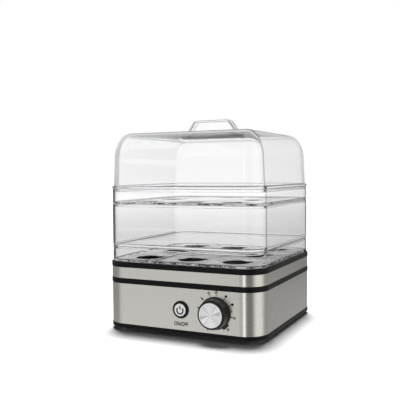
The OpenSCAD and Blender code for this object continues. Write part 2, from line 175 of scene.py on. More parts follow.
def fill_level(bm, z):
    """Flat face, with holes, between all the open edges at height z."""
    edges = [e for e in bm.edges if e.is_boundary and all(abs(v.co.z - z) < 1e-6 for v in e.verts)]
    bmesh.ops.triangle_fill(bm, edges=edges, use_beauty=True, normal=(0, 0, 1))


# ---- Flat outlines, and solids drawn from them --------------------------

def circle(cx, cy, radius, steps=28):
    """Outline of a circle, anticlockwise."""
    return [(cx + radius * math.cos(2 * math.pi * k / steps), cy + radius * math.sin(2 * math.pi * k / steps))
        for k in range(steps)]


def bar(cx, cz, angle, length, width, ends=5):
    """Outline of a straight stroke with round ends."""
    points = []
    for side in (0, 1):
        for k in range(ends + 1):
            a = math.radians(-90 + 180 * k / ends) + side * math.pi
            shift = length / 2 - width / 2
            points.append(((1 - 2 * side) * shift + math.cos(a) * width / 2, math.sin(a) * width / 2))
    turn = math.radians(angle)
    return [(cx + x * math.cos(turn) - z * math.sin(turn), cz + x * math.sin(turn) + z * math.cos(turn))
        for x, z in points]


def arc_stroke(cx, cz, radius, start, stop, width, steps=40, ends=6):
    """Outline of an arc stroke with round ends, angles in degrees."""
    points = []
    for k in range(steps + 1):
        a = math.radians(start + (stop - start) * k / steps)
        points.append((cx + (radius + width / 2) * math.cos(a), cz + (radius + width / 2) * math.sin(a)))
    for end, way in ((stop, 1), (start, -1)):
        a = math.radians(end)
        ex, ez = cx + radius * math.cos(a), cz + radius * math.sin(a)
        if way < 0:
            inside = radius - width / 2
            for k in range(steps + 1):
                b = math.radians(stop + (start - stop) * k / steps)
                points.append((cx + inside * math.cos(b), cz + inside * math.sin(b)))
        for k in range(1, ends):
            b = a + (0 if way > 0 else math.pi) + math.pi * k / ends
            points.append((ex + width / 2 * math.cos(b), ez + width / 2 * math.sin(b)))
    return points


def block(bm, low, high):
    """Closed box between two corners, in millimetres, with softened upright edges."""
    outline = rounded([(low[0], low[1], 0.4), (high[0], low[1], 0.4), (high[0], high[1], 0.4),
        (low[0], high[1], 0.4)], 3)
    made = loft(bm, lambda z: [Vector((x * MM, y * MM, z * MM)) for x, y in outline], [low[2], high[2]])
    for loop in made:
        bm.faces.new(loop)


def plate(bm, outline, place, lift, thickness):
    """Flat closed outline of (x, z) drawn in front of the panel, from lift to lift + thickness."""

    def level(h):
        return [Vector((place[0] + x, PANEL_Y - h, place[1] + z)) for x, z in outline]

    loops = loft(bm, level, [lift, lift + thickness])
    for loop in loops:
        bm.faces.new(loop)


# ---- Finishing ----------------------------------------------------------

def linked(name, data):
    """A new object in the scene."""
    made = bpy.data.objects.new(name, data)
    bpy.context.scene.collection.objects.link(made)
    return made


def weld(bm):
    bmesh.ops.remove_doubles(bm, verts=bm.verts, dist=WELD_DISTANCE)


def close_up(bm):
    """Welds what meets and turns every face outward."""
    weld(bm)
    bmesh.ops.recalc_face_normals(bm, faces=bm.faces)


def drawn(bm, name):
    """A bmesh as an object in the scene; the bmesh is used up."""
    mesh = bpy.data.meshes.new(name)
    bm.to_mesh(mesh)
    bm.free()
    return linked(name, mesh)


def finish_piece(bm, name, body, material, nodes=(), sharp=38.0):
    """Turns a bmesh into a shaded piece that rides on a body."""
    close_up(bm)
    piece = drawn(bm, name)
    piece.data.shade_smooth()
    piece.data.set_sharp_from_angle(angle=math.radians(sharp))
    piece.data.materials.append(material)
    weighted = piece.modifiers.new("Weighted normals", "WEIGHTED_NORMAL")
    weighted.keep_sharp = True
    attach(piece, body)
    if nodes:
        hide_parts(*nodes)
    return piece


# ---- Material helpers ---------------------------------------------------

VIEW_AZIMUTH = 154.2                     # turns the far end of the camera's line of sight to 0


class Wiring:
    """Nodes being added to a shader tree. A value may be a number or another node's output."""

    def __init__(self, tree):
        self.tree = tree

    def node(self, kind, **settings):
        made = self.tree.nodes.new(kind)
        for key, value in settings.items():
            setattr(made, key, value)
        return made

    def join(self, out, into):
        self.tree.links.new(out, into)

    def feed(self, made, **values):
        """Gives inputs, named by their number as in_0, their values."""
        for key, value in values.items():
            socket = made.inputs[int(key[3:])]
            if isinstance(value, (int, float)):
                socket.default_value = value
            else:
                self.join(value, socket)

    def math(self, operation, a, b=0.0):
        made = self.node("ShaderNodeMath", operation=operation)
        self.feed(made, in_0=a, in_1=b)
        return made.outputs[0]

    def blend(self, fac, a, b):
        """From a to b as fac goes from 0 to 1."""
        made = self.node("ShaderNodeMix", data_type="FLOAT")
        self.feed(made, in_0=fac, in_2=a, in_3=b)
        return made.outputs[0]

    def tinted(self, fac, a, colour):
        """From the colour output a to a plain colour as fac goes from 0 to 1."""
        made = self.node("ShaderNodeMix", data_type="RGBA")
        self.feed(made, in_0=fac, in_6=a)
        made.inputs[7].default_value = (*colour, 1)
        return made.outputs[2]

    def spread(self, fac, low, high, span=(0.3, 0.7), kind="LINEAR"):
        """fac over span, as a value from low to high."""
        made = self.node("ShaderNodeMapRange", interpolation_type=kind)
        for socket, value in zip(("From Min", "From Max", "To Min", "To Max"), (*span, low, high)):
            made.inputs[socket].default_value = value
        self.join(fac, made.inputs["Value"])
        return made.outputs["Result"]

    def colours(self, fac, *stops):
        made = self.node("ShaderNodeValToRGB")
        ramp = made.color_ramp
        while len(ramp.elements) < len(stops):
            ramp.elements.new(0.5)
        for element, (position, colour) in zip(ramp.elements, stops):
            element.position = position
            element.color = (*colour, 1)
        self.join(fac, made.inputs["Fac"])
        return made.outputs["Color"]

    def axes(self, vector):
        """The X, Y and Z outputs of a vector."""
        parts = self.node("ShaderNodeSeparateXYZ")
        self.join(vector, parts.inputs[0])
        return parts.outputs["X"], parts.outputs["Y"], parts.outputs["Z"]

    def compass(self, x, y):
        """Angle of (x, y) from the front toward the right."""
        return self.math("ARCTAN2", x, self.math("MULTIPLY", y, -1.0))

    def off_view(self, compass):
        """Angle between a compass direction and the camera's line of sight, either way round."""
        return self.math("PINGPONG", self.math("ADD", compass, math.radians(VIEW_AZIMUTH)), math.pi)


class Shader(Wiring):
    """A material being wired: a Principled shader with object coordinates at hand."""

    def __init__(self, name, **sockets):
        self.material = bpy.data.materials.new(name)
        self.material.use_nodes = True
        super().__init__(self.material.node_tree)
        self.principled = next(n for n in self.tree.nodes if n.type == "BSDF_PRINCIPLED")
        self.output = next(n for n in self.tree.nodes if n.type == "OUTPUT_MATERIAL")
        self.place = self.node("ShaderNodeTexCoord").outputs["Object"]
        for socket, value in sockets.items():
            self.principled.inputs[socket.replace("_", " ")].default_value = value

    def noise(self, scale, detail=3.0, roughness=0.55, stretch=(1, 1, 1)):
        mapping = self.node("ShaderNodeMapping")
        mapping.inputs["Scale"].default_value = stretch
        self.join(self.place, mapping.inputs["Vector"])
        made = self.node("ShaderNodeTexNoise")
        made.inputs["Scale"].default_value = scale
        made.inputs["Detail"].default_value = detail
        made.inputs["Roughness"].default_value = roughness
        self.join(mapping.outputs["Vector"], made.inputs["Vector"])
        return made.outputs["Fac"]

    def set(self, socket, out):
        self.join(out, self.principled.inputs[socket])

    def bump(self, height, distance):
        made = self.node("ShaderNodeBump")
        made.inputs["Strength"].default_value = 1.0
        made.inputs["Distance"].default_value = distance
        self.join(height, made.inputs["Height"])
        self.set("Normal", made.outputs["Normal"])

    def grain_round(self, axis):
        """Runs the metal's grain round an axis."""
        tangent = self.node("ShaderNodeTangent", direction_type="RADIAL", axis=axis)
        self.set("Tangent", tangent.outputs["Tangent"])


def grey(v):
    return (v, v, v)


def moulded_plastic(name, colour, roughness=0.42, grain=0.012, fleck=0.25, shine=0.5):
    """Injection-moulded plastic: fine spark-eroded grain with soft flow patches."""
    s = Shader(name, Specular_IOR_Level=shine)
    fine = s.noise(2600, 2)
    patches = s.noise(38, 3)
    s.set("Base Color", s.colours(patches, (0.3, [c * (1 - fleck) for c in colour]), (0.7, colour)))
    s.set("Roughness", s.spread(patches, roughness - 0.05, roughness + 0.06))
    s.bump(fine, grain * MM)
    return s.material


def brushed_metal(name, colour, roughness, contrast=0.028):
    """Sheet metal brushed along the horizontal: fine lines in height, long along the sheet."""
    s = Shader(name, Metallic=1.0, Anisotropic=0.75, Anisotropic_Rotation=0.25)
    hair = s.noise(1, 2, 0.6, stretch=(9, 9, 5200))
    streak = s.noise(1, 3, 0.6, stretch=(5, 5, 760))
    cloud = s.noise(14, 2)
    lines = s.math("ADD", s.math("MULTIPLY", hair, 0.45), s.math("MULTIPLY", streak, 0.55))
    s.set("Base Color", s.colours(lines, (0.34, [c * (1 - contrast) for c in colour]),
        (0.66, [c * (1 + contrast) for c in colour])))
    s.set("Roughness", s.math("ADD", s.spread(lines, roughness - 0.04, roughness + 0.04),
        s.spread(cloud, -0.02, 0.02)))
    s.bump(lines, 0.002 * MM)
    s.grain_round("Z")
    return s.material


def clear_plastic(name, ior, tint=(0.975, 0.975, 0.981)):
    """Clear moulded plastic. Lamps shine through it, as through thin glass, and its skin is slightly wavy."""
    s = Shader(name, Transmission_Weight=1.0, IOR=ior, Specular_IOR_Level=0.2)
    waves = s.noise(24, 2)
    haze = s.noise(7, 4)
    s.set("Base Color", s.colours(haze, (0.3, [c * 0.985 for c in tint]), (0.7, tint)))
    s.set("Roughness", s.spread(haze, 0.012, 0.035))
    s.bump(waves, 0.04 * MM)
    shade = s.node("ShaderNodeBsdfTransparent")
    shade.inputs["Color"].default_value = (0.985, 0.985, 0.987, 1)
    path = s.node("ShaderNodeLightPath")
    mix = s.node("ShaderNodeMixShader")
    s.feed(mix, in_0=path.outputs["Is Shadow Ray"], in_1=s.principled.outputs[0], in_2=shade.outputs[0])
    s.join(mix.outputs[0], s.output.inputs["Surface"])
    return s.material


# Painted highlight and shade of the turned disc by angle, in degrees, repeated each half turn
PAINTED_WEDGES = ((0, 0.84), (9, 0.7), (17, 0.56), (24, 0.72), (31, 1.0), (47, 1.0), (56, 0.76), (66, 0.94),
    (92, 0.97), (118, 0.92), (137, 0.78), (150, 0.84), (168, 0.9), (180, 0.84))
GROOVE_PITCH = 0.35 * MM
# The painted highlight wedges fade out toward the disc's edge between these radii
DISC_RIM = (11.2 * MM, 11.6 * MM)        # radii between which the wedges fade out toward the edge


def turned_metal(name, colour, roughness):
    """Face-turned aluminium: concentric tool marks round the knob's axis, and painted highlight wedges in its
    colour.
    """
    s = Shader(name, Metallic=1.0, Anisotropic=0.5)
    mapping = s.node("ShaderNodeMapping")
    mapping.inputs["Location"].default_value = (-KNOB.x, 0, -KNOB.z)
    s.join(s.place, mapping.inputs["Vector"])
    x, _, z = s.axes(mapping.outputs["Vector"])
    radius = s.math("SQRT", s.math("ADD", s.math("MULTIPLY", x, x), s.math("MULTIPLY", z, z)))
    grooves = s.math("SINE", s.math("MULTIPLY", radius, 2 * math.pi / GROOVE_PITCH))
    angle = s.math("ARCTAN2", z, x)
    # Painted highlight: light on turned rings falls in opposite pairs of bright and dark wedges, here painted
    # into the colour, so the pattern repeats each half turn
    half_turn = s.math("FRACT", s.math("ADD", s.math("DIVIDE", angle, math.pi), 1.0))
    painted_wedges = s.colours(half_turn, *[(a / 180, [c * light for c in colour]) for a, light in PAINTED_WEDGES])
    rim = s.spread(radius, 0.0, 1.0, DISC_RIM)
    s.set("Base Color", s.tinted(rim, painted_wedges, colour))
    s.set("Roughness", s.spread(s.noise(900, 2), roughness - 0.03, roughness + 0.03))
    s.bump(grooves, 0.002 * MM)
    s.grain_round("Y")
    return s.material


def plated_metal(name, colour, roughness=0.3, dull=0.2):
    """Smooth plated metal with a faint, uneven tarnish."""
    s = Shader(name, Metallic=1.0)
    tarnish = s.noise(160, 4)
    s.set("Base Color", s.colours(tarnish, (0.3, [c * (1 - dull) for c in colour]), (0.7, colour)))
    s.set("Roughness", s.spread(tarnish, roughness - 0.06, roughness + 0.1))
    s.bump(s.noise(1400, 2), 0.01 * MM)
    return s.material


def pan_coating(name):
    """Dark non-stick coating with sparse pale flecks."""
    s = Shader(name, Specular_IOR_Level=0.0)
    fleck = s.noise(1500, 1)
    s.set("Base Color", s.colours(fleck, (0.66, grey(0.003)), (0.74, grey(0.012))))
    s.set("Roughness", s.spread(s.noise(60, 3), 0.42, 0.54))
    s.bump(s.noise(700, 3), 0.02 * MM)
    return s.material


def rubbery(name, colour):
    """Soft matt rubber with a little dust."""
    s = Shader(name, Specular_IOR_Level=0.35)
    dust = s.noise(90, 4)
    s.set("Base Color", s.colours(dust, (0.35, colour), (0.8, [c + 0.02 for c in colour])))
    s.set("Roughness", s.spread(dust, 0.7, 0.85))
    s.bump(s.noise(1800, 2), 0.03 * MM)
    return s.material


def fired_ceramic(name, colour):
    """Unglazed ceramic with fine pores."""
    s = Shader(name)
    pores = s.noise(1100, 3)
    s.set("Base Color", s.colours(pores, (0.3, [c * 0.85 for c in colour]), (0.6, colour)))
    s.set("Roughness", s.spread(pores, 0.55, 0.75))
    s.bump(pores, 0.03 * MM)
    return s.material


def circuit_board(name):
    """Green solder mask over copper tracks."""
    s = Shader(name)
    tracks = s.node("ShaderNodeTexVoronoi", distance="MANHATTAN", feature="DISTANCE_TO_EDGE")
    tracks.inputs["Scale"].default_value = 160
    s.join(s.place, tracks.inputs["Vector"])
    s.set("Base Color", s.colours(tracks.outputs["Distance"], (0.05, (0.02, 0.10, 0.04)),
        (0.12, (0.05, 0.22, 0.09))))
    s.set("Roughness", s.spread(s.noise(400, 2), 0.3, 0.42))
    s.bump(tracks.outputs["Distance"], 0.03 * MM)
    return s.material


MATERIALS = {
    "black_plastic": moulded_plastic("Satin black plastic", (0.003, 0.003, 0.0025), 0.4, shine=0.16),
    "steel": brushed_metal("Brushed stainless steel", (0.68, 0.662, 0.62), 0.24, 0.02),
    "rubber": rubbery("Rubber foot", grey(0.014)),
    "silicone": rubbery("Silicone seal", grey(0.11)),
    "zinc_steel": plated_metal("Zinc-plated steel", (0.58, 0.58, 0.56)),
    "coated_aluminium": pan_coating("Non-stick coating"),
    "heater_sheath": plated_metal("Heater sheath", (0.32, 0.3, 0.28), 0.45),
    "brass": plated_metal("Brass terminal", (0.72, 0.54, 0.24)),
    "steatite": fired_ceramic("Steatite", (0.72, 0.67, 0.58)),
    "board_laminate": circuit_board("Circuit board"),
    "component_plastic": moulded_plastic("Component plastic", (0.13, 0.14, 0.16), 0.5),
    "led_lens": moulded_plastic("Diffuse lens", (0.8, 0.8, 0.78), 0.3),
    "lead_insulation": moulded_plastic("Lead insulation", (0.16, 0.2, 0.42), 0.45),
    "button_silver": plated_metal("Silver button", (0.98, 0.98, 0.97), 0.3, 0.06),
    "turned_aluminium": turned_metal("Turned aluminium", (1.0, 1.0, 0.995), 0.2),
    "clear_plastic": clear_plastic("Clear plastic", 1.46),
}
CLEAR_TRAY = clear_plastic("Clear tray plastic", 1.44)
PRINT = moulded_plastic("Dark print", (0.012, 0.0118, 0.011), 0.55, shine=0.2)
KNOB_BLACK = moulded_plastic("Knob black", (0.003, 0.003, 0.0028), 0.28, shine=0.38)

for row in frame["record"]["subparts"]:
    part = frame["nodes"][row["node"]]
    part.data.materials.clear()
    part.data.materials.append(MATERIALS[row["material_slot"]])


# ---- Camera, made first of the scene's own pieces -----------------------

CAMERA_AT = Vector((298.67, -654.64, 169.11)) * MM
CAMERA_TURN = (25.77, 2.49, -0.49)       # yaw, pitch and roll, in degrees
LENS, SENSOR = 56.41, 36


def add_camera():
    yaw, pitch, roll = (math.radians(v) for v in CAMERA_TURN)
    back = Vector((math.sin(yaw) * math.cos(pitch), -math.cos(yaw) * math.cos(pitch), math.sin(pitch)))
    right = Vector((math.cos(yaw), math.sin(yaw), 0))
    up = back.cross(right)
    data = bpy.data.cameras.new("Camera")
    data.sensor_width = SENSOR
    data.lens = LENS
    camera = linked("Camera", data)
    axes = (right * math.cos(roll) + up * math.sin(roll), up * math.cos(roll) - right * math.sin(roll), back)
    place = Matrix.Identity(4)
    for i, column in enumerate((*axes, CAMERA_AT)):
        place.col[i][:3] = column
    camera.matrix_world = place
    bpy.context.scene.camera = camera


add_camera()


# ---- Base ---------------------------------------------------------------

def black_ring(name, low, high, inner, node, soft=0.7 * MM):
    """Black ring standing proud between the steel bands."""
    bm = bmesh.new()
    sweep(bm, rounded([(inner, low, 0.2 * MM), (RING_OUT, low, soft), (RING_OUT, high, soft),
        (inner, high, 0.2 * MM)], 5))
    finish_piece(bm, name, "base", MATERIALS["black_plastic"], [node])


def cut(piece, cutters):
    """A bmesh of a piece less its cutters; the piece and the cutters are deleted."""
    for cutter in cutters:
        boolean = piece.modifiers.new("Cut", "BOOLEAN")
        boolean.operation = "DIFFERENCE"
        boolean.solver = "EXACT"
        boolean.object = cutter
    bpy.context.view_layer.update()
    made = bpy.data.meshes.new_from_object(piece.evaluated_get(bpy.context.evaluated_depsgraph_get()))
    for spent in (piece, *cutters):
        mesh = spent.data
        bpy.data.objects.remove(spent)
        bpy.data.meshes.remove(mesh)
    bm = bmesh.new()
    bm.from_mesh(made)
    bpy.data.meshes.remove(made)
    return bm


def cutter_rod(origin, radius, reach=4 * MM):
    """Round rod along Y through a place, to cut a hole with."""
    bm = bmesh.new()
    profile = [(0, -reach), (radius, -reach), (radius, reach), (0, reach)]
    lathe(bm, profile, origin, -OUTWARD, False, 64)
    close_up(bm)
    return drawn(bm, "cutter")


def steel_band(name, low, high, node, holes=()):
    """Sheet-steel band round the casing, with holes given as (place, radius)."""
    bm = bmesh.new()
    sweep(bm, [(STEEL_OUT - SHEET, low), (STEEL_OUT, low), (STEEL_OUT, high), (STEEL_OUT - SHEET, high)],
        steps=32)
    if holes:
        close_up(bm)
        bm = cut(drawn(bm, "blank"), [cutter_rod(*hole) for hole in holes])
    finish_piece(bm, name, "base", MATERIALS["steel"], [node])


def base_plate():
    """Bottom plate: outer ring, tongue, vents, screw places, board guides and the terminal block's post."""
    thick = 2.5
    low, floor_top, tongue_top = BASE_Z, BASE_Z + thick * MM, LOWER_Z + 5 * MM
    inner = 18 * MM
    head_r, head_deep, thread_r = 3.2, 1.5, 1.8
    vents, vent_pitch, vent_y, vent_length, vent_width = range(-4, 5), 9, 5, 46, 3
    bm = bmesh.new()
    sweep(bm, rounded([(inner, floor_top, 0), (TONGUE_IN, floor_top, 0.3 * MM),
        (TONGUE_IN, tongue_top, 0.3 * MM), (TONGUE_OUT, tongue_top, 0.3 * MM), (TONGUE_OUT, LOWER_Z, 0),
        (RING_OUT, LOWER_Z, 0.6 * MM), (RING_OUT, low, 0.8 * MM), (inner, low, 0)], 4), closed=False)
    for sx in (-SCREW_AT, SCREW_AT):
        for sy in (-SCREW_AT, SCREW_AT):
            loft(bm, lambda level: [Vector((x * MM, y * MM, low + level[1] * MM))
                for x, y in circle(sx, sy, level[0])],
                [(head_r, 0), (head_r, head_deep), (thread_r, head_deep), (thread_r, thick)])
    for i in vents:
        outline = bar(i * vent_pitch, vent_y, 90, vent_length, vent_width, 6)
        loft(bm, lambda z: [Vector((x * MM, y * MM, z)) for x, y in outline], [low, floor_top])
    weld(bm)
    fill_level(bm, low)
    fill_level(bm, floor_top)
    # Board guides and the terminal block's post, let a little into the floor
    foot = BASE_Z / MM + thick - 0.2
    board_y, guide_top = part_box("control_board")[0].y / MM, 37.5
    for x0, x1 in ((-24.5, -22.1), (66.1, 68.5)):
        block(bm, (x0, board_y - 3, foot), (x1, board_y + 4.6, guide_top))
    block(bm, (38, 60, foot), (72, 74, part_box("terminal_block")[0].z / MM - 0.02))
    finish_piece(bm, "base_shell", "base", MATERIALS["black_plastic"], ["base_plate"])


steel_band("lower_band", LOWER_Z, LOWER_TOP, "lower_shell",
    [(BUTTON, 8.4 * MM), (KNOB, 3.6 * MM), (GLAND, 6.0 * MM)])
black_ring("middle_ring", LOWER_TOP, UPPER_Z, 20.1 * MM, "middle_frame")
steel_band("upper_band_skin", UPPER_Z, UPPER_TOP, "upper_band")
black_ring("top_ring", UPPER_TOP, RIM_TOP, 19.7 * MM, "top_rim", 0.8 * MM)


def gland():
    """Flanged bush in the cord's hole on the back."""
    bm = bmesh.new()
    lathe(bm, rounded(scaled([(3.6, -5, 0), (7.2, -5, 0.4), (7.2, -0.9, 0), (5.9, -0.9, 0), (5.9, 0, 0),
        (8, 0, 0), (8, 2.2, 0.9), (3.6, 2.2, 0.7)])), GLAND, Vector((0, 1, 0)))
    finish_piece(bm, "gland", "base", MATERIALS["black_plastic"], ["cord_gland"])


gland()


def feet():
    """Four stepped feet, their steps let into the base plate."""
    bm = bmesh.new()
    top = 4.5
    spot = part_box("foot_pads")[1].x - 8 * MM
    for sx in (-1, 1):
        for sy in (-1, 1):
            lathe(bm, rounded(scaled([(0, 0, 0), (7, 0, 0.5), (7.2, 1, 0), (8, 1, 0.3), (8, top, 0),
                (0, top, 0)])), Vector((sx * spot, sy * spot, 0)), Vector((0, 0, 1)), False, 48)
    finish_piece(bm, "feet", "base", MATERIALS["rubber"], ["foot_pads"])


feet()
base_plate()


# ---- Button -------------------------------------------------------------

def bezel():
    """Black surround of the button, through the panel."""
    bm = bmesh.new()
    lathe(bm, rounded(scaled([(7.4, -3.5, 0), (8.3, -3.5, 0), (8.3, 0, 0), (9.1, 0, 0), (9.1, 1.2, 0.6),
        (7.4, 1.2, 0.5)]), 5), BUTTON, OUTWARD)
    finish_piece(bm, "button_ring", "base", KNOB_BLACK, ["button_bezel"])


def cap():
    """Dark cap with a silver disc let into its face."""
    bm = bmesh.new()
    lathe(bm, rounded(scaled([(0, -3.5, 0), (7.1, -3.5, 0), (7.1, 2.05, 0.5), (6.55, 2.05, 0), (6.55, 1.7, 0),
        (0, 1.7, 0)])), BUTTON, OUTWARD, False)
    finish_piece(bm, "button_cap_body", "button", KNOB_BLACK, ["button_cap"])
    bm = bmesh.new()
    lathe(bm, rounded(scaled([(0, 1.71, 0), (6.5, 1.71, 0), (6.5, 2.1, 0.25), (4, 2.18, 0), (0, 2.2, 0)])),
        BUTTON, OUTWARD, False)
    finish_piece(bm, "button_disc", "button", MATERIALS["button_silver"], sharp=50)


def power_mark():
    """Power sign: an open ring and a bar."""
    bm = bmesh.new()
    lift, thick = 2.12 * MM, 0.075 * MM
    place = (BUTTON.x, BUTTON.z)
    plate(bm, scaled(arc_stroke(0, -0.6, 3.5, 150, 390, 1.45)), place, lift, thick)
    plate(bm, scaled(bar(0, 1.65, 90, 4.8, 1.45)), place, lift, thick)
    finish_piece(bm, "power_sign", "button", PRINT)


bezel()
cap()
power_mark()


# ---- Printed scale and label on the panel ------------------------------

INK = 0.05 * MM
EGG_LENGTH, EGG_WIDTH = 3.2, 2.9
# Ticks as (angle from the right, anticlockwise; distance from the knob's axis; length; width)
TICKS = ((-116, 19.0, 1.8, 0.9), (169, 17.4, 3.2, 1.0), (138, 17.6, 3.8, 1.4), (110, 17.0, 1.5, 1.4),
    (86.5, 17.0, 1.3, 0.9), (56, 17.0, 1.5, 1.5), (28, 17.0, 1.5, 1.2), (9.6, 17.2, 1.5, 1.5),
    (-9.5, 16.4, 2.4, 1.2))
# Eggs as (angle, whether filled)
EGGS = ((110, False), (86.5, False), (56, True), (28, True), (-9.5, False), (-49, False))
LABEL_SIZE, LABEL_WIDTH, LABEL_DROP = 5.6 * MM, 16.2 * MM, 15.0 * MM


def egg_outline(scale=1.0, steps=28):
    """An egg, point outward along +X, in millimetres."""
    points = []
    for k in range(steps):
        a = 2 * math.pi * k / steps
        wide = EGG_WIDTH / 2 * (1 - 0.14 * math.cos(a))
        points.append((scale * EGG_LENGTH / 2 * math.cos(a), scale * wide * math.sin(a)))
    return points


def turned(points, angle, radius):
    """Points drawn along +X, moved out to a radius at an angle round the dial."""
    a = math.radians(angle)
    return [((radius + x) * math.cos(a) - z * math.sin(a), (radius + x) * math.sin(a) + z * math.cos(a))
        for x, z in points]


def ring_plate(bm, outer, inner, place, lift, thickness):
    """Flat ring between two outlines with the same number of points."""
    loops = []
    for outline, h in ((outer, lift), (outer, lift + thickness), (inner, lift + thickness), (inner, lift)):
        loops.append([bm.verts.new((place[0] + x, PANEL_Y - h, place[1] + z)) for x, z in outline])
    for i, loop in enumerate(loops):
        after = loops[(i + 1) % 4]
        for k in range(len(loop)):
            j = (k + 1) % len(loop)
            bm.faces.new((loop[k], loop[j], after[j], after[k]))


def scale_marks():
    """Ticks and egg signs round the knob: outlined eggs for soft, filled ones for hard."""
    bm = bmesh.new()
    place = (KNOB.x - 0.5 * MM, KNOB.z)
    for angle, start, length, width in TICKS:
        plate(bm, scaled(turned(bar(0, 0, 0, length, width), angle, start + length / 2)), place, 0, INK)
    for angle, filled in EGGS:
        reach = 20.9 if filled else 20.7
        outer = scaled(turned(egg_outline(0.94 if filled else 1), angle, reach))
        if filled:
            plate(bm, outer, place, 0, INK)
        else:
            ring_plate(bm, outer, scaled(turned(egg_outline(0.6), angle, reach)), place, 0, INK)
            plate(bm, scaled(turned(egg_outline(0.3), angle, reach)), place, 0, INK)
    finish_piece(bm, "dial_scale", "base", PRINT)


def label():
    """Generic switch label under the button."""
    text = bpy.data.curves.new("label_text", "FONT")
    text.body = "ON/OFF"
    text.align_x = "CENTER"
    text.align_y = "CENTER"
    text.size = LABEL_SIZE
    text.extrude = INK / 2
    text.offset = 0.16 * MM
    draft = linked("label_draft", text)
    bpy.context.view_layer.update()
    mesh = bpy.data.meshes.new_from_object(draft.evaluated_get(bpy.context.evaluated_depsgraph_get()))
    bm = bmesh.new()
    bm.from_mesh(mesh)
    width = max(v.co.x for v in bm.verts) - min(v.co.x for v in bm.verts)
    squeeze = LABEL_WIDTH / width
    for v in bm.verts:
        x, z, h = v.co
        v.co = Vector((BUTTON.x + 0.2 * MM + x * squeeze, PANEL_Y - h - INK / 2, BUTTON.z - LABEL_DROP + z))
    bpy.data.objects.remove(draft)
    bpy.data.meshes.remove(mesh)
    finish_piece(bm, "switch_label", "base", PRINT)


scale_marks()
label()


# ---- Knob ---------------------------------------------------------------

POINTER = math.radians(-48)
FLUTES = 40


def knob():
    """Knob with a skirt, fluted side and pointer tab, and the turned disc let into its face."""
    skirt, side, front = 16.5, 14.9, 13.5
    bm = bmesh.new()
    profile = rounded(scaled([(3.02, 10.4, 0), (3.02, 4, 0), (9, 4, 0), (9, 0.5, 0), (skirt, 0.5, 0.2),
        (skirt, 2.9, 0.5), (side, 3.3, 0.3), (side - 0.1, front - 1.9, 0.4), (13.9, front - 0.3, 0.4),
        (13.3, front, 0.2), (12.4, front, 0), (12.4, front - 1, 0), (0, front - 1, 0), (0, 10.4, 0)]), 3)

    def fluted(r, h, a):
        """Shallow flutes on the knob's side, fading at the skirt and the front edge."""
        low, high = 3.9 * MM, (front - 1.6) * MM
        if r < 12 * MM or not low < h < high:
            return r
        return r - 0.28 * MM * (0.5 + 0.5 * math.cos(FLUTES * a))

    # Levels along the side, so that the flutes have ends
    levels = []
    for i, point in enumerate(profile):
        levels.append(point)
        after = profile[(i + 1) % len(profile)]
        if point[0] > 14 * MM and abs(point[0] - after[0]) < 0.3 * MM and after[1] - point[1] > 4 * MM:
            for share in (0.04, 0.08, 0.35, 0.65, 0.92, 0.96):
                levels.append(tuple(a + (b - a) * share for a, b in zip(point, after)))
    lathe(bm, levels, KNOB, OUTWARD, False, FLUTES * 8, fluted)
    turn = Matrix.Rotation(-POINTER, 3, "Y")

    def tab(level):
        """Pointer tab on the skirt, at a height and drawn in by a shrink."""
        h, shrink = level
        outline = rounded([(13, -3.5 + shrink, 0.1), (18.3 - shrink, -3.5 + shrink, 0.8),
            (18.3 - shrink, 3.5 - shrink, 0.8), (13, 3.5 - shrink, 0.1)], 4)
        return [KNOB + turn @ Vector((x * MM, -h * MM, z * MM)) for x, z in outline]

    loops = loft(bm, tab, [(0.5, 0), (2.5, 0), (2.7, 0.08), (2.8, 0.3)])
    bm.faces.new(loops[0])
    bm.faces.new(loops[-1])
    grip = finish_piece(bm, "knob_grip", "knob", KNOB_BLACK, ["knob_body"], 45)
    grip.visible_glossy = False
    bm = bmesh.new()
    lathe(bm, rounded(scaled([(0, front - 0.98, 0), (12.3, front - 0.98, 0), (12.3, front + 0.2, 0.3),
        (0, front + 0.2, 0)])), KNOB, OUTWARD, False)
    finish_piece(bm, "knob_disc", "knob", MATERIALS["turned_aluminium"], ["knob_cap"])


knob()


# ---- Clear trays, tier wall and lid -------------------------------------

# Seats and slots in millimetres, as in the CAD
PITCH_X, PITCH_Y = 52, 58
SEATS = [(i * PITCH_X, j * PITCH_Y) for i in (-1, 0, 1) for j in (-1, 0, 1) if (i, j) != (0, 0)]
SEAT_R, NOTCH_R, NOTCH_X, NOTCH_Y = 14.25, 5.25, 11.1, 8.2
SLOTS, SLOT_PITCH, SLOT_L, SLOT_W, SLOT_AT = 8, 15.5, 10.5, 2.4, 81.7
# A seat's edge as (growth of its outline, height over the floor), thin at the opening
SEAT_EDGE = ((0.05, 0), (0, -0.05), (0.02, -0.14), (0.3, -0.24), (3.5, -0.66), (6.6, -1.1),
    (7.5, -TRAY_FLOOR / MM))
SLOT_FLARE, SLOT_SOFT = 1.06, 0.2 * MM   # how far a slot opens at its two edges, and over what height


def keyhole(offset, big=44, small=20):
    """Outline of a seat's opening and its steam notch, grown by offset, in millimetres."""
    r1, r2, apart = SEAT_R + offset, NOTCH_R + offset, math.hypot(NOTCH_X, NOTCH_Y)
    lean = math.atan2(NOTCH_Y, NOTCH_X)
    along = (apart ** 2 + r1 ** 2 - r2 ** 2) / (2 * apart)
    across = math.sqrt(r1 ** 2 - along ** 2)
    a1, a2 = math.atan2(across, along), math.atan2(across, along - apart)
    points = [(r1 * math.cos(a), r1 * math.sin(a)) for a in
        (a1 + (2 * math.pi - 2 * a1) * k / big for k in range(big))]
    points += [(apart + r2 * math.cos(a), r2 * math.sin(a)) for a in
        (-a2 + 2 * a2 * k / small for k in range(small))]
    return [(x * math.cos(lean) - y * math.sin(lean), x * math.sin(lean) + y * math.cos(lean))
        for x, y in points]


